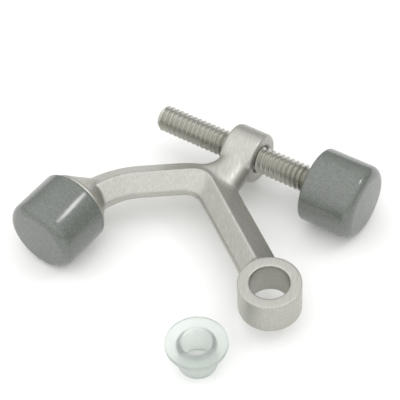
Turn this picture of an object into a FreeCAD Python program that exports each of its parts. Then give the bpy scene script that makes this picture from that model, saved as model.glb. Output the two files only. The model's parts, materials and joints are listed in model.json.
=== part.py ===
import FreeCAD, Part
import math
import os

from FreeCAD import Vector

# Hinge pin door stop, in millimetres.
# The origin is the middle of the eye's bore, +Z runs along the hinge pin, and +X, +Y lie in the plane of the
# arms. The casting is the same above and below that plane, so that it can be turned over for either hand.

# Eye that goes over the hinge pin, with a small bevel at both ends of its bore
EYE_BORE_D = 8.7
EYE_OUTER_D = 14.1
EYE_HEIGHT = 8.4
EYE_EDGE = 0.15

# Section of the arms: two ridges, and an edge band on the inner and the outer side of the bend
RIDGE_DROP = 0.15
EDGE_BAND = 1.5
INNER_REACH = 3.85
OUTER_REACH = 4.95

# Line of the ridge, seen from above
EYE_ARM_ANGLE = 109.0
EYE_ARM_LENGTH = 36.3
LONG_ARM_ANGLE = 180.0
LONG_ARM_STRAIGHT = 15.2
INNER_BEND_R = 4.0
RIDGE_BEND_R = 4.5
OUTER_BEND_R = 10.0

# Flared collar at the end of the long arm, measured from where the arm starts to curve
COLLAR_RUN = 15.0
COLLAR_DROP = 4.9
COLLAR_ANGLE = 230.0
COLLAR_OFFSET = 2.0
COLLAR_OUTER_REACH = 5.6
COLLAR_D = 15.4
COLLAR_RIM = 0.9
FLARE_LENGTH = 7.5
FLARE_ROOT_D = 4.0
FLARE_SHIFT = 2.0
FLARE_FADE = 1.25
FLARE_SECTIONS = 6

# Hub on the outside of the bend, square to the line that halves the bend
HUB_D = 12.1
HUB_LENGTH = 8.4
HUB_EDGE = 0.6
HUB_STANDOFF = 11.6
HUB_SHIFT = 3.7

# Neck between the bend and the hub
NECK_ROOT_HEIGHT = 6.8
NECK_ROOT_START = 0.3
NECK_ROOT_SHIFT = 0.8
NECK_SPREAD = 3.2
NECK_FADE = 3
NECK_RISE = 3
NECK_BITE = 2.5
NECK_INSET = 0.05
NECK_SECTIONS = 5
NECK_OVAL_POINTS = 8

# Adjusting screw, one quarter of an inch over its thread
SCREW_D = 6.35
SCREW_LENGTH = 42.0
SCREW_EXTENSION = 14.3
SCREW_END_CHAMFER = 0.8
SCREW_CLEARANCE = 0.05

# Stud inside each rubber cap: a neck of the screw's diameter and a round head
STUD_NECK = 4.5
STUD_HEAD_D = 10.0
STUD_HEAD = 2.2
CAP_CLEARANCE = 0.05

# Rubber cap, with a round of a few straight bands at its front edge
CAP_D = 17.6
CAP_LENGTH = 13.3
CAP_FRONT_ROUND = 2.4
CAP_ROUND_BANDS = 3

# Loose bush that lines the eye, standing on the level of the caps' undersides
BUSH_BORE_D = 6.7
BUSH_CLEARANCE = 0.08
BUSH_FLANGE_D = 13.6
BUSH_FLANGE = 1.2
BUSH_BARREL = 6.6
BUSH_EDGE = 0.35
BUSH_X = -16.4
BUSH_Y = -10.6

UP = Vector(0, 0, 1)
ORIGIN = Vector(0, 0, 0)


def heading(angle):
    """Unit vector in the plane of the arms, at an angle in degrees from +X."""
    return Vector(math.cos(math.radians(angle)), math.sin(math.radians(angle)), 0)


def left_of(direction):
    return Vector(-direction.y, direction.x, 0)


# Places that the pieces share. The line of the arms runs from the eye to the collar, with the inner side of
# the bend on its left.
EYE_DIR = heading(EYE_ARM_ANGLE)
LONG_DIR = heading(LONG_ARM_ANGLE)
COLLAR_DIR = heading(COLLAR_ANGLE)
BEND = EYE_DIR * EYE_ARM_LENGTH
BEND_TURN = math.radians(LONG_ARM_ANGLE - EYE_ARM_ANGLE)
CURVE_START = BEND + LONG_DIR * LONG_ARM_STRAIGHT
COLLAR_FACE = CURVE_START + LONG_DIR * COLLAR_RUN + left_of(LONG_DIR) * COLLAR_DROP
HUB_OUT = heading((EYE_ARM_ANGLE + LONG_ARM_ANGLE) / 2 - 90)
SCREW_DIR = left_of(HUB_OUT) * -1
HUB_CENTRE = BEND + HUB_OUT * HUB_STANDOFF + SCREW_DIR * HUB_SHIFT
SCREW_CAP_FACE = HUB_CENTRE + SCREW_DIR * (HUB_LENGTH / 2 + SCREW_EXTENSION)
FLOOR_Z = -CAP_D / 2


def turned(points):
    """Solid of revolution about Z from the (radius, height) points of its outline."""
    corners = [Vector(radius, 0, height) for radius, height in points]
    return Part.Face(Part.makePolygon(corners + corners[:1])).revolve(ORIGIN, UP, 360)


def quarter_round(radius, height, rounding, bands):
    """Points of a turned outline over its upper outer corner, as a few straight bands."""
    points = []
    for band in range(bands + 1):
        angle = math.radians(90 * band / bands)
        inwards = rounding * (1 - math.cos(angle))
        down = rounding * (1 - math.sin(angle))
        points.append((radius - inwards, height - down))
    return points


def placed(shape, origin, direction):
    """A shape made along Z, moved to an origin and turned along a direction."""
    result = shape.copy()
    result.Placement = FreeCAD.Placement(origin, FreeCAD.Rotation(UP, direction))
    return result


def rail(offset, end_offset, height, bend_radius):
    """One edge of the arms, from the middle of the eye to inside the collar; offsets are outwards from the
    ridge."""
    lift = UP * height
    out_eye = left_of(EYE_DIR) * -1
    out_long = left_of(LONG_DIR) * -1
    halving = out_eye + out_long
    corner = BEND + halving * (offset / (1 + out_eye.dot(out_long))) + lift
    tangent = bend_radius * math.tan(BEND_TURN / 2)
    cut = bend_radius / math.cos(BEND_TURN / 2) - bend_radius
    start = out_eye * offset + lift
    bend_in = corner - EYE_DIR * tangent
    bend_middle = corner - halving.normalize() * cut
    bend_out = corner + LONG_DIR * tangent
    curve_in = CURVE_START + out_long * offset + lift
    in_collar = COLLAR_DIR * (-COLLAR_RIM / 2)
    curve_out = COLLAR_FACE + left_of(COLLAR_DIR) * (COLLAR_OFFSET - end_offset) + in_collar + lift
    run = (curve_out - curve_in).dot(LONG_DIR)
    drop = (curve_out - curve_in).dot(left_of(LONG_DIR))
    radius = (run ** 2 + drop ** 2) / (2 * drop)
    half = math.atan2(drop, run)
    along = LONG_DIR * (radius * math.sin(half))
    across = left_of(LONG_DIR) * (radius * (1 - math.cos(half)))
    return [
        Part.LineSegment(start, bend_in).toShape(),
        Part.Arc(bend_in, bend_middle, bend_out).toShape(),
        Part.LineSegment(bend_out, curve_in).toShape(),
        Part.Arc(curve_in, curve_in + along + across, curve_out).toShape(),
    ]


def arms():
    """The two arms as one bar: ruled faces between six rails, closed at both ends."""
    ridge = EYE_HEIGHT / 2 - RIDGE_DROP
    band = EDGE_BAND / 2
    rails = [
        rail(0, 0, ridge, RIDGE_BEND_R),
        rail(OUTER_REACH, COLLAR_OUTER_REACH, band, OUTER_BEND_R),
        rail(OUTER_REACH, COLLAR_OUTER_REACH, -band, OUTER_BEND_R),
        rail(0, 0, -ridge, RIDGE_BEND_R),
        rail(-INNER_REACH, -INNER_REACH, -band, INNER_BEND_R),
        rail(-INNER_REACH, -INNER_REACH, band, INNER_BEND_R),
    ]
    faces = []
    for side, edges in enumerate(rails):
        for edge, next_edge in zip(edges, rails[side - 1]):
            faces.append(Part.makeRuledSurface(edge, next_edge))
    for end, edge_index in ((0, 0), (-1, -1)):
        corners = [edges[edge_index].Vertexes[end].Point for edges in rails]
        faces.append(Part.Face(Part.makePolygon(corners + corners[:1])))
    shell = Part.Compound(faces)
    shell.sewShape()
    solid = Part.Solid(shell.Shells[0])
    if solid.Volume < 0:
        solid.reverse()
    return solid


def eye():
    return Part.makeCylinder(EYE_OUTER_D / 2, EYE_HEIGHT, UP * (-EYE_HEIGHT / 2), UP)


def eye_bore():
    radius = EYE_BORE_D / 2
    top = EYE_HEIGHT / 2
    return turned([
        (0, -top),
        (radius + EYE_EDGE, -top),
        (radius, -top + EYE_EDGE),
        (radius, top - EYE_EDGE),
        (radius + EYE_EDGE, top),
        (0, top),
    ])


def stud(clearance, foot):
    """What a rubber cap grips, from a foot below the cap's back face, grown all round by a clearance."""
    neck = SCREW_D / 2 + clearance
    head = STUD_HEAD_D / 2 + clearance
    shoulder = STUD_NECK - clearance
    crown = STUD_NECK + STUD_HEAD + clearance
    return turned([
        (0, foot),
        (neck, foot),
        (neck, shoulder),
        (head, shoulder),
        (head, crown),
        (0, crown),
    ])


def collar():
    """Rim at the end of the long arm, with the stud for its cap, along Z from the face that the cap meets."""
    rim = Part.makeCylinder(COLLAR_D / 2, COLLAR_RIM, UP * -COLLAR_RIM, UP)
    return rim.fuse(stud(0, -COLLAR_RIM))


def flare():
    """Trumpet between the rim and the long arm, through circles that shrink into the arm."""
    circles = []
    for index in range(FLARE_SECTIONS):
        share = index / (FLARE_SECTIONS - 1)
        radius = (FLARE_ROOT_D + (COLLAR_D - FLARE_ROOT_D) * (1 - share) ** FLARE_FADE) / 2
        back = COLLAR_DIR * (COLLAR_RIM + FLARE_LENGTH * share)
        centre = COLLAR_FACE - back + left_of(COLLAR_DIR) * (FLARE_SHIFT * share ** 2)
        circles.append(Part.Wire(Part.makeCircle(radius, centre, COLLAR_DIR)))
    return Part.makeLoft(circles, True)


def hub():
    radius = HUB_D / 2
    end = HUB_LENGTH / 2
    return turned([
        (0, -end),
        (radius - HUB_EDGE, -end),
        (radius, -end + HUB_EDGE),
        (radius, end - HUB_EDGE),
        (radius - HUB_EDGE, end),
        (0, end),
    ])


def oval(centre, half_length, half_height):
    """Upright oval, square to the line from the bend to the hub."""
    points = []
    for index in range(NECK_OVAL_POINTS):
        angle = math.tau * index / NECK_OVAL_POINTS
        along = SCREW_DIR * (half_length * math.cos(angle))
        points.append(centre + along + UP * (half_height * math.sin(angle)))
    curve = Part.BSplineCurve()
    curve.interpolate(points, PeriodicFlag=True)
    return Part.Wire(curve.toShape())


def neck():
    """Crowned web that spreads from the hub down onto the outer faces of both arms."""
    top_reach = HUB_STANDOFF - HUB_D / 2 + NECK_BITE
    in_hub = HUB_D / 2 - NECK_BITE
    root_height = NECK_ROOT_HEIGHT / 2
    top_height = math.sqrt((HUB_D / 2) ** 2 - in_hub ** 2) - NECK_INSET
    sections = []
    for index in range(NECK_SECTIONS):
        share = index / (NECK_SECTIONS - 1)
        away = (1 - share) ** NECK_FADE
        reach = NECK_ROOT_START + (top_reach - NECK_ROOT_START) * share
        shift = HUB_SHIFT + (NECK_ROOT_SHIFT - HUB_SHIFT) * away
        centre = BEND + HUB_OUT * reach + SCREW_DIR * shift
        half_length = HUB_LENGTH / 2 - NECK_INSET + NECK_SPREAD * away
        half_height = root_height + (top_height - root_height) * share ** NECK_RISE
        sections.append(oval(centre, half_length, half_height))
    return Part.makeLoft(sections, True)


def stop_body():
    body = arms().fuse([
        eye(),
        flare(),
        placed(collar(), COLLAR_FACE, COLLAR_DIR),
        placed(hub(), HUB_CENTRE, SCREW_DIR),
        neck(),
    ])
    hole = Part.makeCylinder(SCREW_D / 2 + SCREW_CLEARANCE, 2 * HUB_LENGTH, UP * -HUB_LENGTH, UP)
    return body.cut([eye_bore(), placed(hole, HUB_CENTRE, SCREW_DIR)]).removeSplitter()


def adjusting_screw():
    radius = SCREW_D / 2
    rod = turned([
        (0, -SCREW_LENGTH),
        (radius - SCREW_END_CHAMFER, -SCREW_LENGTH),
        (radius, -SCREW_LENGTH + SCREW_END_CHAMFER),
        (radius, 0),
        (0, 0),
    ])
    screw = rod.fuse(stud(0, 0)).removeSplitter()
    return placed(screw, SCREW_CAP_FACE, SCREW_DIR)


def rubber_cap():
    """Moulded cap along Z from its back face, with a blind socket for the stud."""
    radius = CAP_D / 2
    front = quarter_round(radius, CAP_LENGTH, CAP_FRONT_ROUND, CAP_ROUND_BANDS)
    shell = turned([(0, 0), (radius, 0), *front, (0, CAP_LENGTH)])
    return shell.cut(stud(CAP_CLEARANCE, -CAP_LENGTH))


def pin_bush():
    bore = BUSH_BORE_D / 2
    barrel = EYE_BORE_D / 2 - BUSH_CLEARANCE
    flange = BUSH_FLANGE_D / 2
    top = BUSH_BARREL + BUSH_FLANGE
    sleeve = turned([
        (bore, 0),
        (barrel - BUSH_EDGE, 0),
        (barrel, BUSH_EDGE),
        (barrel, BUSH_BARREL),
        (flange - BUSH_EDGE, BUSH_BARREL),
        (flange, BUSH_BARREL + BUSH_EDGE),
        (flange, top - BUSH_EDGE),
        (flange - BUSH_EDGE, top),
        (bore, top),
    ])
    return placed(sleeve, Vector(BUSH_X, BUSH_Y, FLOOR_Z), UP)


PARTS = {
    "stop_body": stop_body(),
    "adjusting_screw": adjusting_screw(),
    "screw_bumper": placed(rubber_cap(), SCREW_CAP_FACE, SCREW_DIR),
    "arm_bumper": placed(rubber_cap(), COLLAR_FACE, COLLAR_DIR),
    "pin_bush": pin_bush(),
}

os.makedirs("parts", exist_ok=True)
for node, shape in PARTS.items():
    if not shape.isValid() or len(shape.Solids) != 1:
        raise RuntimeError(f"{node} is not one valid solid")
    shape.exportStep(f"parts/{node}.step")
    print(f"{node}: {shape.Volume:.1f} mm3")
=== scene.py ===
"""Dresses a hinge pin door stop: nickel casting, threaded screw, rubber caps and clear nylon bush."""
import json
import math

import bmesh
import bpy
import numpy as np
from bpy.props import FloatProperty, FloatVectorProperty, PointerProperty
from mathutils import Matrix, Vector


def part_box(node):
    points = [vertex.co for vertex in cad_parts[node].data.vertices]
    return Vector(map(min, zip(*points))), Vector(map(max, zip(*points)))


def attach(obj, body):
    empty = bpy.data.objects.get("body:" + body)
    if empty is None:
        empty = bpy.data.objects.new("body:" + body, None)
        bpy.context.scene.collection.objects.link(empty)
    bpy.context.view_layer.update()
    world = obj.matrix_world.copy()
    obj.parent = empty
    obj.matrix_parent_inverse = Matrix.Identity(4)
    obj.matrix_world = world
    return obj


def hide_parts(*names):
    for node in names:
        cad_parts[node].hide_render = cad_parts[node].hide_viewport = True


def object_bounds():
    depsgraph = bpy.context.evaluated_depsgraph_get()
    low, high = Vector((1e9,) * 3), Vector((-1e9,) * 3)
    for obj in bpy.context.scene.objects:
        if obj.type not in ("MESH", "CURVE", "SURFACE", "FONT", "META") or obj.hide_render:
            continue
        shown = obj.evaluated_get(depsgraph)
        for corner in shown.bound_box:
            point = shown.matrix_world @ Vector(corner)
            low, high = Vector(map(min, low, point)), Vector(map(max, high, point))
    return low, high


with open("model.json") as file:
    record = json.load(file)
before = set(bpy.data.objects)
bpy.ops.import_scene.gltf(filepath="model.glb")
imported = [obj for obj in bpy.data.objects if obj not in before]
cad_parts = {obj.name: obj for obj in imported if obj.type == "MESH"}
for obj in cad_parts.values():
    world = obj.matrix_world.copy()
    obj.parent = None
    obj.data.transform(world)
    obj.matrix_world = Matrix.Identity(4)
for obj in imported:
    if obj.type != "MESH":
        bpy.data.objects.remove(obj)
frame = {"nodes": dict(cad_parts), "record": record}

bl_info = {
    "name": "Hinge Pin Door Stop",
    "version": (1, 0, 0),
    "blender": (4, 5, 0),
    "location": "3D View > Sidebar > Door Stop",
    "description": "Builds the looks of a hinge pin door stop around its packed solids",
    "category": "Add Mesh",
}

CAD_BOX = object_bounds()
MM = 0.001
MOUNTS = {mount["name"]: mount for mount in frame["record"]["mounts"]}
ARM_CAP_LOW, ARM_CAP_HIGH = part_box("arm_bumper")
BUSH_LOW, BUSH_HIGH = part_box("pin_bush")

# Steps that keep round forms smooth in a close view
TURN_STEPS = 96
ARC_STEPS = 8
THREAD_STEPS = 48
THREAD_ROWS = 8

# Angles past which an edge shows as sharp, on the screw and on the moulded pieces
SCREW_SHARP = math.radians(35)
MOULD_SHARP = math.radians(50)

# Where a thread's flank starts and ends, as shares of the pitch from the middle of the crest
FLANK_START = 0.06
FLANK_END = 0.44

# Points nearer than this are one. As a radius of softening, it leaves a corner as it is
WELD = 1e-6

# A radius so wide, in metres, that softening to it takes out every ripple
FLAT = 1.0

# Passes of softening on the casting, and the share of its way that a point goes in one pass
EDGE_PASSES = 200
FILL_PASSES = 400
FAIR_PASSES = 8
EASE = 0.5

# How far the casting's coarse copy is drawn in, as a share of its grid
DRAW_IN = 0.15

# Nearly all values of a noise texture lie between these two
NOISE_LOW = 0.3
NOISE_HIGH = 0.7

# Height of the finest relief on metal and rubber
RELIEF = 0.02 * MM

# The sky's brightest part: overhead, a little to the left and towards the camera
SKY_PEAK = Vector((-0.22, -0.2, 0.95)).normalized()

# Cosines of the angle from there at which the sky is as dim and as bright as it gets
SKY_DIM = -0.15
SKY_BRIGHT = 0.9

WHITE = (1, 1, 1, 1)

# How far the floor reaches from the origin, in metres, and the width of the camera's frame, in millimetres
FLOOR_REACH = 2.0
FRAME_WIDTH = 36


def linear(code):
    """Turns an sRGB hex colour into linear red, green, blue and alpha."""
    channels = [int(code[i:i + 2], 16) / 255 for i in (1, 3, 5)]
    return [c / 12.92 if c <= 0.04045 else ((c + 0.055) / 1.055) ** 2.4 for c in channels] + [1.0]


def length(name, text, value):
    """A length property in metres, from a size in millimetres."""
    return FloatProperty(name=name, description=text, default=value * MM, min=0, unit="LENGTH", precision=5)


def colour(name, text, code):
    """A colour property from an sRGB hex value."""
    return FloatVectorProperty(name=name, description=text, default=linear(code), size=4, subtype="COLOR",
                               min=0, max=1)


def angle(name, text, degrees):
    """An angle property from degrees."""
    return FloatProperty(name=name, description=text, default=math.radians(degrees), subtype="ANGLE")


class DoorStopSizes(bpy.types.PropertyGroup):
    """Sizes of the pieces that are drawn finer than their solids."""

    cast_grid: length("Casting grid", "Size of the even faces that carry the casting's soft edges", 0.23)
    cast_edge: length("Casting edge", "Radius of the casting's outer edges after brushing", 0.22)
    cast_fillet: length("Casting fillet", "Radius of the casting's inside corners", 0.9)
    neck_grid: length("Neck grid", "Size of the coarser faces that carry the neck's wide fillets", 0.45)
    neck_fillet: length("Neck fillet", "Radius in the corners between the neck, the arms and the hub", 3.2)
    neck_blend: length("Neck blend", "Radius over the shallow creases where the neck runs out", 16.0)
    neck_blend_depth: length("Neck blend depth", "Most metal that fills those creases", 0.9)
    neck_reach: length("Neck reach", "How far the wide fillets reach from the middle of the neck", 11.0)
    neck_crown: length("Neck crown", "Radius of the neck's shoulders", 6.0)
    crown_reach: length("Crown reach", "How far those shoulders reach from the middle of the neck", 5.5)
    crown_fade: length("Crown fade", "How far from there the shoulders run out into crisp edges", 3.0)
    hub_diameter: length("Hub diameter", "Outer diameter of the hub", 12.1)
    hub_length: length("Hub length", "Length of the hub along the screw", 8.4)
    countersink: length("Countersink", "Depth of the countersink at each end of the hub", 0.6)
    neck_middle: FloatVectorProperty(name="Neck middle", description="Point between the bend and the hub",
                                     default=(-8.3 * MM, 39.2 * MM, 0), subtype="TRANSLATION", unit="LENGTH")
    screw_diameter: length("Screw diameter", "Diameter over the thread's crests", 6.35)
    screw_pitch: length("Screw pitch", "Distance from crest to crest", 1.27)
    screw_depth: length("Thread depth", "Height of a crest above the root", 0.65)
    screw_length: length("Screw length", "From the free end to the rubber cap", 42.0)
    screw_extension: length("Screw extension", "From the hub to the screw's cap, at rest", 14.3)
    screw_chamfer: length("Screw chamfer", "Bevel of the screw's free end", 0.8)
    stud_neck: length("Stud neck", "Length of the screw inside the cap, up to its head", 4.5)
    stud_head_diameter: length("Stud head diameter", "Diameter of the head that holds the cap", 10.0)
    stud_head: length("Stud head", "Thickness of that head", 2.2)
    cap_length: length("Cap length", "Length of a rubber cap", 13.3)
    cap_front_round: length("Cap front rounding", "Radius round the cap's striking face", 2.4)
    cap_back_round: length("Cap back rounding", "Radius round the cap's open end", 0.8)
    cap_socket: length("Cap socket", "Clearance between a cap and the stud inside it", 0.05)
    bush_bore: length("Bush bore", "Bore of the bush", 2 * MOUNTS["bush_bore"]["dims"]["r_mm"])
    bush_barrel: length("Bush barrel", "Outer diameter of the bush below its flange", 8.54)
    bush_flange: length("Bush flange", "Thickness of the bush's flange", 1.2)
    bush_round: length("Bush rounding", "Radius of the bush's moulded edges", 0.35)


class DoorStopFinishes(bpy.types.PropertyGroup):
    """Colours and surface patterns of the materials."""

    nickel: colour("Nickel", "Brushed nickel plate", "#BFBEB7")
    nickel_mark: colour("Nickel marks", "Darker brush marks in the plate", "#ABAAA3")
    steel: colour("Screw plate", "Bright plate on the screw", "#B7B6AE")
    rubber: colour("Rubber", "Grey moulded rubber", "#535852")
    rubber_bloom: colour("Rubber bloom", "Paler bloom on the rubber", "#676C66")
    nylon: colour("Nylon", "Clear nylon with a faint green tint", "#EEF4F0")
    floor: colour("Floor", "Pale studio floor", "#F4F4F3")
    brush_width: length("Brush width", "Width of one brush mark", 0.2)
    brush_length: length("Brush length", "Length of one brush mark", 5.0)
    brush_angle: angle("Brush angle", "Heading of the brush marks from the X axis", 74)
    plate_cloud: length("Plate cloud", "Size of the duller patches in the screw's plate", 0.8)
    rubber_grain: length("Rubber grain", "Size of the mottling on the rubber", 0.5)
    nylon_haze: length("Nylon haze", "Size of the duller patches on the nylon", 2.0)


class DoorStopStudio(bpy.types.PropertyGroup):
    """Camera and lights."""

    aim: FloatVectorProperty(name="Aim", description="Point at the middle of the picture",
                             default=(-13.67 * MM, 28.07 * MM, 0), subtype="TRANSLATION", unit="LENGTH")
    distance: length("Distance", "From the camera to its aim", 341.7)
    elevation: angle("Elevation", "Height of the camera above the horizon", 49.0)
    roll: angle("Roll", "Turn of the camera about its own axis", -3.77)
    lens: FloatProperty(name="Lens", description="Focal length on a 36 mm frame", default=135, unit="CAMERA")
    sky_high: FloatProperty(name="Sky high", description="Brightness of the sky overhead", default=1.5)
    sky_low: FloatProperty(name="Sky low", description="Brightness of the sky low down", default=0.44)
    floor_glow: FloatProperty(name="Floor glow", description="Light that the lit floor gives by itself",
                              default=0.03)
    strip_distance: length("Strip distance", "From the strip light to the aim", 700)
    strip_width: length("Strip width", "Width of the strip light", 170)
    strip_height: length("Strip height", "Height of the strip light", 90)
    strip_heading: angle("Strip heading", "Direction of the strip light from the X axis", 3.5)
    strip_rise: angle("Strip rise", "Height of the strip light above the horizon", 51.5)
    strip_glow: FloatProperty(name="Strip glow", description="Brightness of the strip light", default=8.5)


def add(tree, kind, inputs=None, **settings):
    """Adds a node with its settings. Each input is a value, or an output socket to link from."""
    node = tree.nodes.new(kind)
    for name, value in settings.items():
        setattr(node, name, value)
    for key, value in (inputs or {}).items():
        if isinstance(value, bpy.types.NodeSocket):
            tree.links.new(value, node.inputs[key])
        else:
            node.inputs[key].default_value = value
    return node


def new_material(name):
    """An empty node material."""
    material = bpy.data.materials.new(name)
    material.use_nodes = True
    material.node_tree.nodes.clear()
    return material, material.node_tree


def brushed_satin_nickel(finish):
    """Satin nickel plate over a brushed casting.

    The brushing spreads every highlight and leaves fine parallel marks, which break the tone of a face.
    """
    material, tree = new_material("satin_nickel_brushed")
    place = add(tree, "ShaderNodeTexCoord").outputs["Object"]
    # Real brush marks are about 0.05 mm wide. They are drawn wider here, so that they show in a picture.
    mark_size = (finish.brush_length, finish.brush_width, 3 * finish.brush_width)
    marks_place = add(tree, "ShaderNodeMapping", {"Vector": place, "Rotation": (0, 0, finish.brush_angle),
                                                  "Scale": mark_size}, vector_type="TEXTURE")
    marks = add(tree, "ShaderNodeTexNoise", {"Vector": marks_place.outputs[0], "Scale": 1.0, "Detail": 3.0,
                                             "Roughness": 0.6})
    tone = add(tree, "ShaderNodeMapRange", {"Value": marks.outputs[0], "From Min": NOISE_LOW,
                                            "From Max": NOISE_HIGH})
    tint = add(tree, "ShaderNodeMix", {"Factor": tone.outputs[0], "A": finish.nickel_mark[:],
                                       "B": finish.nickel[:]}, data_type="RGBA")
    gloss = add(tree, "ShaderNodeMapRange", {"Value": marks.outputs[0], "From Min": NOISE_LOW,
                                             "From Max": NOISE_HIGH, "To Min": 0.46, "To Max": 0.38})
    bump = add(tree, "ShaderNodeBump", {"Height": marks.outputs[0], "Strength": 0.12, "Distance": RELIEF})
    shader = add(tree, "ShaderNodeBsdfPrincipled", {"Base Color": tint.outputs["Result"], "Metallic": 1.0,
                                                    "Roughness": gloss.outputs[0],
                                                    "Normal": bump.outputs[0]})
    add(tree, "ShaderNodeOutputMaterial", {"Surface": shader.outputs[0]})
    return material


def nickel_plated_steel(finish):
    """Bright nickel plate on a rolled steel thread: sharp small glints on each crest, with dark roots."""
    material, tree = new_material("plated_steel_rolled")
    place = add(tree, "ShaderNodeTexCoord").outputs["Object"]
    cloud = add(tree, "ShaderNodeTexNoise", {"Vector": place, "Scale": 1 / finish.plate_cloud,
                                             "Detail": 2.0})
    gloss = add(tree, "ShaderNodeMapRange", {"Value": cloud.outputs[0], "To Min": 0.28, "To Max": 0.38})
    shader = add(tree, "ShaderNodeBsdfPrincipled", {"Base Color": finish.steel[:], "Metallic": 1.0,
                                                    "Roughness": gloss.outputs[0]})
    add(tree, "ShaderNodeOutputMaterial", {"Surface": shader.outputs[0]})
    return material


def moulded_grey_rubber(finish):
    """Moulded rubber: even grey with a soft sheen and a faint mottled bloom."""
    material, tree = new_material("grey_rubber_moulded")
    place = add(tree, "ShaderNodeTexCoord").outputs["Object"]
    # The fine grain of moulded rubber is drawn coarser here, so that it shows in a picture
    grain = add(tree, "ShaderNodeTexNoise", {"Vector": place, "Scale": 1 / finish.rubber_grain,
                                             "Detail": 3.0})
    tone = add(tree, "ShaderNodeMapRange", {"Value": grain.outputs[0], "From Min": NOISE_LOW,
                                            "From Max": NOISE_HIGH})
    tint = add(tree, "ShaderNodeMix", {"Factor": tone.outputs[0], "A": finish.rubber[:],
                                       "B": finish.rubber_bloom[:]}, data_type="RGBA")
    gloss = add(tree, "ShaderNodeMapRange", {"Value": grain.outputs[0], "To Min": 0.13, "To Max": 0.21})
    bump = add(tree, "ShaderNodeBump", {"Height": grain.outputs[0], "Strength": 0.1, "Distance": RELIEF})
    shader = add(tree, "ShaderNodeBsdfPrincipled", {"Base Color": tint.outputs["Result"], "IOR": 1.5,
                                                    "Specular IOR Level": 1.0, "Roughness": gloss.outputs[0],
                                                    "Normal": bump.outputs[0]})
    add(tree, "ShaderNodeOutputMaterial", {"Surface": shader.outputs[0]})
    return material


def clear_moulded_nylon(finish):
    """Clear nylon, moulded: milky where it is thick, with a faint green tint and a waxy sheen."""
    material, tree = new_material("clear_nylon_moulded")
    place = add(tree, "ShaderNodeTexCoord").outputs["Object"]
    haze = add(tree, "ShaderNodeTexNoise", {"Vector": place, "Scale": 1 / finish.nylon_haze, "Detail": 2.0})
    gloss = add(tree, "ShaderNodeMapRange", {"Value": haze.outputs[0], "To Min": 0.25, "To Max": 0.4})
    shader = add(tree, "ShaderNodeBsdfPrincipled", {"Base Color": finish.nylon[:], "IOR": 1.45,
                                                    "Transmission Weight": 0.92,
                                                    "Roughness": gloss.outputs[0]})
    add(tree, "ShaderNodeOutputMaterial", {"Surface": shader.outputs[0]})
    return material


def pale_floor(finish, glow):
    """Matt white acrylic, lit a little from below, which keeps the shadows pale."""
    material, tree = new_material("white_acrylic_matt")
    shader = add(tree, "ShaderNodeBsdfPrincipled", {"Base Color": finish.floor[:], "Roughness": 0.9,
                                                    "Specular IOR Level": 0.1, "Emission Color": WHITE,
                                                    "Emission Strength": glow})
    add(tree, "ShaderNodeOutputMaterial", {"Surface": shader.outputs[0]})
    return material


def show(name, mesh, material):
    """Puts a finished mesh in the scene as one object with one material."""
    mesh.name = name
    mesh.materials.clear()
    mesh.materials.append(material)
    mesh.shade_smooth()
    piece = bpy.data.objects.new(name, mesh)
    bpy.context.scene.collection.objects.link(piece)
    return piece


def plain_mesh(host):
    """The mesh that an object's modifiers make, free of the object, which is removed."""
    bpy.context.view_layer.update()
    mesh = bpy.data.meshes.new_from_object(host.evaluated_get(bpy.context.evaluated_depsgraph_get()))
    bpy.data.objects.remove(host)
    return mesh


def clean(mesh):
    """Welds a mesh's doubles and turns its faces outwards."""
    work = bmesh.new()
    work.from_mesh(mesh)
    bmesh.ops.remove_doubles(work, verts=work.verts, dist=WELD)
    bmesh.ops.recalc_face_normals(work, faces=work.faces)
    work.to_mesh(mesh)
    work.free()


def joined(first, second):
    """Two meshes as one."""
    work = bmesh.new()
    work.from_mesh(first)
    work.from_mesh(second)
    mesh = bpy.data.meshes.new("joined")
    work.to_mesh(mesh)
    work.free()
    return mesh


def carved(mesh, cutter):
    """A mesh with the shape of another one taken out of it."""
    block = bpy.data.objects.new("block", mesh)
    tool = bpy.data.objects.new("tool", cutter)
    for item in (block, tool):
        bpy.context.scene.collection.objects.link(item)
    cut = block.modifiers.new("cut", "BOOLEAN")
    cut.operation = "DIFFERENCE"
    cut.object = tool
    result = plain_mesh(block)
    bpy.data.objects.remove(tool)
    return result


def even_faces(mesh, grid):
    """The outer skin of a mesh, made again of even faces of one size."""
    block = bpy.data.objects.new("block", mesh)
    bpy.context.scene.collection.objects.link(block)
    even = block.modifiers.new("even_faces", "REMESH")
    even.mode = "VOXEL"
    even.voxel_size = grid
    return plain_mesh(block)


def facing(start, heading):
    """The matrix that carries a piece made along +Z to a start point and a heading."""
    turn = Vector(heading).to_track_quat("Z", "Y").to_matrix().to_4x4()
    return Matrix.Translation(start) @ turn


def per_point(mesh, value):
    """A value of three numbers at every point of a mesh, as rows."""
    rows = np.empty(len(mesh.vertices) * 3)
    mesh.vertices.foreach_get(value, rows)
    return rows.reshape(-1, 3)


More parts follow.
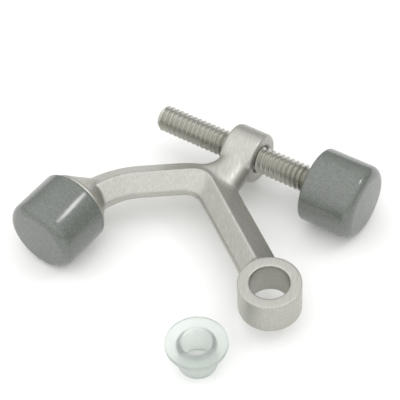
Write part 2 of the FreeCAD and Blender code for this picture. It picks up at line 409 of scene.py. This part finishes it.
def soften(mesh, grid, edge, fillet, passes, cap=math.inf):
    """Rounds the outer edges of an even mesh to one radius, and fills its inside corners to another.

    Each radius is one number, or one for every point. A radius near zero leaves its corners as they are. No
    point is filled by more than the cap.
    """
    count = len(mesh.vertices)
    ends = np.empty(len(mesh.edges) * 2, np.int32)
    mesh.edges.foreach_get("vertices", ends)
    first, second = ends.reshape(-1, 2).T
    sharing = np.bincount(ends, minlength=count)[:, None]
    spots = per_point(mesh, "co")
    # A round edge of radius r lifts a point grid * grid / 4 r from the mean of its neighbours
    outer_limit = grid * grid / (4 * edge)
    inner_limit = grid * grid / (4 * fillet)
    filled = np.zeros(count)
    for _ in range(passes):
        mesh.vertices.foreach_set("co", spots.ravel())
        mesh.update()
        out = per_point(mesh, "normal")
        total = np.stack([np.bincount(first, spots[second, axis], count)
                          + np.bincount(second, spots[first, axis], count) for axis in range(3)], 1)
        lift = np.sum((total / sharing - spots) * out, axis=1)
        fill = np.minimum(EASE * np.maximum(lift - inner_limit, 0), cap - filled)
        filled += fill
        move = fill + EASE * np.minimum(lift + outer_limit, 0)
        spots += move[:, None] * out
    mesh.vertices.foreach_set("co", spots.ravel())
    mesh.update()


def outline(corners):
    """Points of a closed outline. Each corner is (radius, along, rounding), rounded by a tangent arc."""
    points = []
    for i, (x, y, rounding) in enumerate(corners):
        corner = Vector((x, y))
        if rounding == 0:
            points.append(corner)
            continue
        back = (Vector(corners[i - 1][:2]) - corner).normalized()
        ahead = (Vector(corners[(i + 1) % len(corners)][:2]) - corner).normalized()
        half = back.angle(ahead) / 2
        centre = corner + (back + ahead).normalized() * rounding / math.sin(half)
        start = corner + back * rounding / math.tan(half) - centre
        sweep = start.angle_signed(corner + ahead * rounding / math.tan(half) - centre)
        for step in range(ARC_STEPS + 1):
            points.append(centre + Matrix.Rotation(-sweep * step / ARC_STEPS, 2) @ start)
    return points


def turned(points):
    """A mesh turned about Z from outline points of (radius, along)."""
    work = bmesh.new()
    ring = [work.verts.new((point.x, 0, point.y)) for point in points]
    edges = [work.edges.new((ring[i - 1], ring[i])) for i in range(len(ring))
             if points[i - 1].x > WELD or points[i].x > WELD]
    bmesh.ops.spin(work, geom=ring + edges, axis=(0, 0, 1), cent=(0, 0, 0), angle=math.tau, steps=TURN_STEPS,
                   use_merge=True)
    mesh = bpy.data.meshes.new("turned")
    work.to_mesh(mesh)
    work.free()
    clean(mesh)
    return mesh


def thread_tree():
    """A screw thread by rule: a sheet as long as all the turns and one pitch wide, wound into a helix."""
    tree = bpy.data.node_groups.new("screw_thread", "GeometryNodeTree")
    for name in ("Radius", "Pitch", "Depth", "Length", "Chamfer", "Head Radius", "Head"):
        tree.interface.new_socket(name=name, in_out="INPUT", socket_type="NodeSocketFloat")
    for name in ("Steps", "Rows"):
        tree.interface.new_socket(name=name, in_out="INPUT", socket_type="NodeSocketInt")
    tree.interface.new_socket(name="Material", in_out="INPUT", socket_type="NodeSocketMaterial")
    tree.interface.new_socket(name="Geometry", in_out="OUTPUT", socket_type="NodeSocketGeometry")
    given = add(tree, "NodeGroupInput").outputs

    # The sheet: X counts turns, Y runs across one pitch with its crest in the middle
    exact = add(tree, "ShaderNodeMath", {0: given["Length"], 1: given["Pitch"]}, operation="DIVIDE")
    whole = add(tree, "ShaderNodeMath", {0: exact.outputs[0]}, operation="CEIL")
    turns = add(tree, "ShaderNodeMath", {0: whole.outputs[0], 1: 2.0}, operation="ADD")
    columns = add(tree, "ShaderNodeMath", {0: turns.outputs[0], 1: given["Steps"], 2: 1.0},
                  operation="MULTIPLY_ADD")
    rows = add(tree, "ShaderNodeMath", {0: given["Rows"], 1: 1.0}, operation="ADD")
    sheet = add(tree, "GeometryNodeMeshGrid", {"Size X": turns.outputs[0], "Size Y": 1.0,
                                               "Vertices X": columns.outputs[0],
                                               "Vertices Y": rows.outputs[0]})
    spot = add(tree, "ShaderNodeSeparateXYZ", {0: add(tree, "GeometryNodeInputPosition").outputs[0]})

    # Height along the screw, held between its two ends
    half = add(tree, "ShaderNodeMath", {0: given["Length"], 1: 0.5}, operation="MULTIPLY")
    step = add(tree, "ShaderNodeMath", {0: spot.outputs["X"], 1: spot.outputs["Y"]}, operation="ADD")
    climb = add(tree, "ShaderNodeMath", {0: step.outputs[0], 1: given["Pitch"], 2: half.outputs[0]},
                operation="MULTIPLY_ADD")
    height = add(tree, "ShaderNodeClamp", {"Value": climb.outputs[0], "Min": 0.0, "Max": given["Length"]})

    # Radius from the thread's profile, cut by the bevels at both ends
    root = add(tree, "ShaderNodeMath", {0: given["Radius"], 1: given["Depth"]}, operation="SUBTRACT")
    offset = add(tree, "ShaderNodeMath", {0: spot.outputs["Y"]}, operation="ABSOLUTE")
    profile = add(tree, "ShaderNodeMapRange", {"Value": offset.outputs[0], "From Min": FLANK_START,
                                               "From Max": FLANK_END, "To Min": given["Radius"],
                                               "To Max": root.outputs[0]})
    bevel = add(tree, "ShaderNodeMath", {0: given["Radius"], 1: given["Chamfer"]}, operation="SUBTRACT")
    rest = add(tree, "ShaderNodeMath", {0: given["Length"], 1: height.outputs[0]}, operation="SUBTRACT")
    nearer = add(tree, "ShaderNodeMath", {0: rest.outputs[0], 1: height.outputs[0]}, operation="MINIMUM")
    limit = add(tree, "ShaderNodeMath", {0: nearer.outputs[0], 1: bevel.outputs[0]}, operation="ADD")
    radius = add(tree, "ShaderNodeMath", {0: profile.outputs[0], 1: limit.outputs[0]}, operation="MINIMUM")

    # Wind the sheet round Z
    turn = add(tree, "ShaderNodeMath", {0: spot.outputs["X"], 1: math.tau}, operation="MULTIPLY")
    cosine = add(tree, "ShaderNodeMath", {0: turn.outputs[0]}, operation="COSINE")
    sine = add(tree, "ShaderNodeMath", {0: turn.outputs[0]}, operation="SINE")
    east = add(tree, "ShaderNodeMath", {0: cosine.outputs[0], 1: radius.outputs[0]}, operation="MULTIPLY")
    north = add(tree, "ShaderNodeMath", {0: sine.outputs[0], 1: radius.outputs[0]}, operation="MULTIPLY")
    wound_place = add(tree, "ShaderNodeCombineXYZ", {0: east.outputs[0], 1: north.outputs[0],
                                                     2: height.outputs[0]})
    wound = add(tree, "GeometryNodeSetPosition", {"Geometry": sheet.outputs[0],
                                                  "Position": wound_place.outputs[0]})

    # Two end faces close the thread, and a round head stands on the far one
    end = add(tree, "GeometryNodeMeshCircle", {"Vertices": given["Steps"], "Radius": bevel.outputs[0]},
              fill_type="NGON")
    lift = add(tree, "ShaderNodeCombineXYZ", {2: given["Length"]})
    far_end = add(tree, "GeometryNodeTransform", {"Geometry": end.outputs[0],
                                                  "Translation": lift.outputs[0]})
    parts = add(tree, "GeometryNodeJoinGeometry")
    for part in (wound, end, far_end):
        tree.links.new(part.outputs[0], parts.inputs[0])
    closed = add(tree, "GeometryNodeMergeByDistance", {"Geometry": parts.outputs[0], "Distance": WELD})
    head = add(tree, "GeometryNodeMeshCylinder", {"Vertices": given["Steps"], "Radius": given["Head Radius"],
                                                  "Depth": given["Head"]})
    middle = add(tree, "ShaderNodeMath", {0: given["Head"], 1: 0.5, 2: given["Length"]},
                 operation="MULTIPLY_ADD")
    head_lift = add(tree, "ShaderNodeCombineXYZ", {2: middle.outputs[0]})
    head_up = add(tree, "GeometryNodeTransform", {"Geometry": head.outputs[0],
                                                  "Translation": head_lift.outputs[0]})
    screw = add(tree, "GeometryNodeJoinGeometry")
    for part in (closed, head_up):
        tree.links.new(part.outputs[0], screw.inputs[0])
    real = add(tree, "GeometryNodeRealizeInstances", {"Geometry": screw.outputs[0]})
    dressed = add(tree, "GeometryNodeSetMaterial", {"Geometry": real.outputs[0],
                                                    "Material": given["Material"]})
    add(tree, "NodeGroupOutput", {"Geometry": dressed.outputs[0]})
    return tree


class DOORSTOP_OT_casting(bpy.types.Operator):
    """Builds the brushed casting with soft edges and filleted inside corners."""

    bl_idname = "doorstop.casting"
    bl_label = "Casting"

    def execute(self, context):
        sizes = context.scene.door_stop_sizes
        block = frame["nodes"]["stop_body"].data.copy()
        clean(block)
        block = self.countersunk(block, sizes)
        # The new skin goes round both meshes, so that the fillets of the filled copy are kept
        skin = even_faces(joined(block, self.filled(block, sizes)), sizes.cast_grid)
        # The neck's shoulders are rounder than the other edges, but the hub stays crisp
        spots = per_point(skin, "co")
        away = np.linalg.norm(spots - np.array(sizes.neck_middle), axis=1)
        fade = (sizes.crown_reach, sizes.crown_reach + sizes.crown_fade)
        crown = np.interp(away, fade, (sizes.neck_crown, sizes.cast_edge))
        outside_hub = self.off_screw(spots) > sizes.hub_diameter / 2 + sizes.cast_grid
        edge = np.where(outside_hub, crown, sizes.cast_edge)
        soften(skin, sizes.cast_grid, edge, sizes.cast_fillet, EDGE_PASSES)
        soften(skin, sizes.cast_grid, FLAT, FLAT, FAIR_PASSES)
        piece = show("brushed_casting", skin, brushed_satin_nickel(context.scene.door_stop_finishes))
        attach(piece, "stop")
        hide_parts("stop_body")
        return {"FINISHED"}

    def countersunk(self, block, sizes):
        """The casting with a small countersink at both ends of the hub's hole."""
        tip = MOUNTS["screw_bumper_face"]
        heading = Vector(tip["axis"])
        end = Vector(tip["pos_m"]) - heading * (sizes.cap_length + sizes.screw_extension)
        mouth = sizes.screw_diameter / 2 + sizes.countersink
        over = sizes.countersink
        for start, out in ((end, heading), (end - heading * sizes.hub_length, -heading)):
            cone = turned([Vector((0, -mouth)), Vector((mouth + over, over)), Vector((0, over))])
            cone.transform(facing(start, out))
            block = carved(block, cone)
        return block

    def off_screw(self, spots):
        """The distance of every point from the middle line of the screw."""
        tip = MOUNTS["screw_bumper_face"]
        return np.linalg.norm(np.cross(spots - np.array(tip["pos_m"]), np.array(tip["axis"])), axis=1)

    def filled(self, block, sizes):
        """A coarse copy of the casting, drawn in so that only the wide fillets at its neck stand out."""
        mesh = even_faces(block.copy(), sizes.neck_grid)
        spots = per_point(mesh, "co")
        outside_hole = self.off_screw(spots) > sizes.screw_diameter / 2 + sizes.countersink + sizes.neck_grid
        at_neck = np.linalg.norm(spots - np.array(sizes.neck_middle), axis=1) < sizes.neck_reach
        at_neck &= outside_hole
        soften(mesh, sizes.neck_grid, WELD, np.where(at_neck, sizes.neck_fillet, WELD), FILL_PASSES)
        soften(mesh, sizes.neck_grid, WELD, np.where(at_neck, sizes.neck_blend, WELD), FILL_PASSES,
               sizes.neck_blend_depth)
        drawn_in = per_point(mesh, "co") - per_point(mesh, "normal") * (sizes.neck_grid * DRAW_IN)
        mesh.vertices.foreach_set("co", drawn_in.ravel())
        return mesh


class DOORSTOP_OT_screw(bpy.types.Operator):
    """Winds the adjusting screw's thread and places it through the hub."""

    bl_idname = "doorstop.screw"
    bl_label = "Adjusting screw"

    def execute(self, context):
        sizes = context.scene.door_stop_sizes
        host = bpy.data.objects.new("screw_host", bpy.data.meshes.new("screw_host"))
        context.scene.collection.objects.link(host)
        tree = thread_tree()
        values = {
            "Radius": sizes.screw_diameter / 2,
            "Pitch": sizes.screw_pitch,
            "Depth": sizes.screw_depth,
            "Length": sizes.screw_length + sizes.stud_neck,
            "Chamfer": sizes.screw_chamfer,
            "Head Radius": sizes.stud_head_diameter / 2,
            "Head": sizes.stud_head,
            "Steps": THREAD_STEPS,
            "Rows": THREAD_ROWS,
            "Material": nickel_plated_steel(context.scene.door_stop_finishes),
        }
        nodes = host.modifiers.new("thread", "NODES")
        nodes.node_group = tree
        for socket in tree.interface.items_tree:
            if socket.in_out == "INPUT":
                nodes[socket.identifier] = values[socket.name]
        mesh = plain_mesh(host)
        clean(mesh)
        tip = MOUNTS["screw_bumper_face"]
        heading = Vector(tip["axis"])
        free_end = Vector(tip["pos_m"]) - heading * (sizes.cap_length + sizes.screw_length)
        mesh.transform(facing(free_end, heading))
        piece = show("threaded_screw", mesh, values["Material"])
        mesh.set_sharp_from_angle(angle=SCREW_SHARP)
        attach(piece, "screw")
        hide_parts("adjusting_screw")
        return {"FINISHED"}


class DOORSTOP_OT_caps(bpy.types.Operator):
    """Turns the two rubber caps, each hollow for the stud that holds it."""

    bl_idname = "doorstop.caps"
    bl_label = "Rubber caps"

    def execute(self, context):
        sizes = context.scene.door_stop_sizes
        rubber = moulded_grey_rubber(context.scene.door_stop_finishes)
        radius = (ARM_CAP_HIGH.z - ARM_CAP_LOW.z) / 2
        neck = sizes.screw_diameter / 2 + sizes.cap_socket
        head = sizes.stud_head_diameter / 2 + sizes.cap_socket
        shelf = sizes.stud_neck - sizes.cap_socket
        floor = sizes.stud_neck + sizes.stud_head + sizes.cap_socket
        corners = (
            (0, sizes.cap_length, 0),
            (radius, sizes.cap_length, sizes.cap_front_round),
            (radius, 0, sizes.cap_back_round),
            (neck, 0, 0),
            (neck, shelf, 0),
            (head, shelf, 0),
            (head, floor, 0),
            (0, floor, 0),
        )
        for node, body, face in (("arm_bumper", "stop", "arm_bumper_face"),
                                 ("screw_bumper", "bumper", "screw_bumper_face")):
            mesh = turned(outline(corners))
            heading = Vector(MOUNTS[face]["axis"])
            mesh.transform(facing(Vector(MOUNTS[face]["pos_m"]) - heading * sizes.cap_length, heading))
            piece = show(node + "_rubber", mesh, rubber)
            mesh.set_sharp_from_angle(angle=MOULD_SHARP)
            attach(piece, body)
            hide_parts(node)
        return {"FINISHED"}


class DOORSTOP_OT_bush(bpy.types.Operator):
    """Turns the clear flanged bush."""

    bl_idname = "doorstop.bush"
    bl_label = "Pin bush"

    def execute(self, context):
        sizes = context.scene.door_stop_sizes
        height = BUSH_HIGH.z - BUSH_LOW.z
        flange = (BUSH_HIGH.x - BUSH_LOW.x) / 2
        bore = sizes.bush_bore / 2
        barrel = sizes.bush_barrel / 2
        shelf = height - sizes.bush_flange
        soft = sizes.bush_round
        corners = (
            (bore, 0, soft),
            (bore, height, soft),
            (flange, height, soft),
            (flange, shelf, soft),
            (barrel, shelf, soft),
            (barrel, 0, soft),
        )
        mesh = turned(outline(corners))
        middle = (BUSH_LOW + BUSH_HIGH) / 2
        mesh.transform(Matrix.Translation((middle.x, middle.y, BUSH_LOW.z)))
        piece = show("clear_bush", mesh, clear_moulded_nylon(context.scene.door_stop_finishes))
        mesh.set_sharp_from_angle(angle=MOULD_SHARP)
        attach(piece, "stop")
        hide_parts("pin_bush")
        return {"FINISHED"}


class DOORSTOP_OT_stage(bpy.types.Operator):
    """Sets the floor, the soft studio light and the camera."""

    bl_idname = "doorstop.stage"
    bl_label = "Stage"

    def execute(self, context):
        scene = context.scene
        studio = scene.door_stop_studio
        work = bmesh.new()
        bmesh.ops.create_grid(work, x_segments=1, y_segments=1, size=FLOOR_REACH)
        mesh = bpy.data.meshes.new("floor")
        work.to_mesh(mesh)
        work.free()
        mesh.transform(Matrix.Translation((0, 0, CAD_BOX[0][2])))
        show("floor", mesh, pale_floor(scene.door_stop_finishes, studio.floor_glow))
        self.sky(scene, studio)
        self.strip(scene, studio)
        self.camera(scene, studio)
        scene.view_settings.view_transform = "Standard"
        return {"FINISHED"}

    def sky(self, scene, studio):
        """A plain sky, bright overhead and dim at the horizon, as under a wide soft box."""
        world = bpy.data.worlds.new("studio_sky")
        world.use_nodes = True
        tree = world.node_tree
        tree.nodes.clear()
        look = add(tree, "ShaderNodeTexCoord").outputs["Generated"]
        overhead = add(tree, "ShaderNodeVectorMath", {0: look, 1: SKY_PEAK}, operation="DOT_PRODUCT")
        level = add(tree, "ShaderNodeMapRange", {"Value": overhead.outputs["Value"], "From Min": SKY_DIM,
                                                 "From Max": SKY_BRIGHT, "To Min": studio.sky_low,
                                                 "To Max": studio.sky_high}, interpolation_type="SMOOTHSTEP")
        glow = add(tree, "ShaderNodeBackground", {"Color": WHITE, "Strength": level.outputs[0]})
        add(tree, "ShaderNodeOutputWorld", {"Surface": glow.outputs[0]})
        scene.world = world

    def strip(self, scene, studio):
        """A small wide light high on the right, which draws the thin streaks on the rubber."""
        light = bpy.data.lights.new("strip", "AREA")
        light.shape = "RECTANGLE"
        light.size = studio.strip_width
        light.size_y = studio.strip_height
        light.energy = studio.strip_glow * math.pi * light.size * light.size_y
        lamp = bpy.data.objects.new("strip", light)
        level = Matrix.Rotation(studio.strip_heading, 3, "Z") @ Vector((1, 0, 0))
        out = level * math.cos(studio.strip_rise) + Vector((0, 0, math.sin(studio.strip_rise)))
        lamp.matrix_world = facing(Vector(studio.aim) + out * studio.strip_distance, out)
        scene.collection.objects.link(lamp)

    def camera(self, scene, studio):
        """The camera, aimed at the object from the front and above."""
        data = bpy.data.cameras.new("camera")
        data.lens = studio.lens
        data.sensor_width = FRAME_WIDTH
        eye = bpy.data.objects.new("camera", data)
        tilt = math.pi / 2 - studio.elevation
        turn = Matrix.Rotation(tilt, 4, "X")
        back = turn @ Vector((0, 0, 1))
        place = Matrix.Translation(Vector(studio.aim) + back * studio.distance)
        eye.matrix_world = place @ turn @ Matrix.Rotation(studio.roll, 4, "Z")
        scene.collection.objects.link(eye)
        scene.camera = eye


OPERATORS = (DOORSTOP_OT_casting, DOORSTOP_OT_screw, DOORSTOP_OT_caps, DOORSTOP_OT_bush, DOORSTOP_OT_stage)


class DOORSTOP_PT_panel(bpy.types.Panel):
    """Lists the steps that build the door stop, and its sizes, finishes and studio."""

    bl_idname = "DOORSTOP_PT_panel"
    bl_label = "Door Stop"
    bl_space_type = "VIEW_3D"
    bl_region_type = "UI"
    bl_category = "Door Stop"

    def draw(self, context):
        for step in OPERATORS:
            self.layout.operator(step.bl_idname)
        for group in (context.scene.door_stop_sizes, context.scene.door_stop_finishes,
                      context.scene.door_stop_studio):
            for name in group.__annotations__:
                self.layout.prop(group, name)


GROUPS = {
    "door_stop_sizes": DoorStopSizes,
    "door_stop_finishes": DoorStopFinishes,
    "door_stop_studio": DoorStopStudio,
}
CLASSES = (*GROUPS.values(), *OPERATORS, DOORSTOP_PT_panel)


def register():
    for entry in CLASSES:
        bpy.utils.register_class(entry)
    for name, group in GROUPS.items():
        setattr(bpy.types.Scene, name, PointerProperty(type=group))


def unregister():
    for name in GROUPS:
        delattr(bpy.types.Scene, name)
    for entry in reversed(CLASSES):
        bpy.utils.unregister_class(entry)


def main():
    register()
    bpy.ops.doorstop.casting()
    bpy.ops.doorstop.screw()
    bpy.ops.doorstop.caps()
    bpy.ops.doorstop.bush()
    bpy.ops.doorstop.stage()


if __name__ == "__main__":
    main()
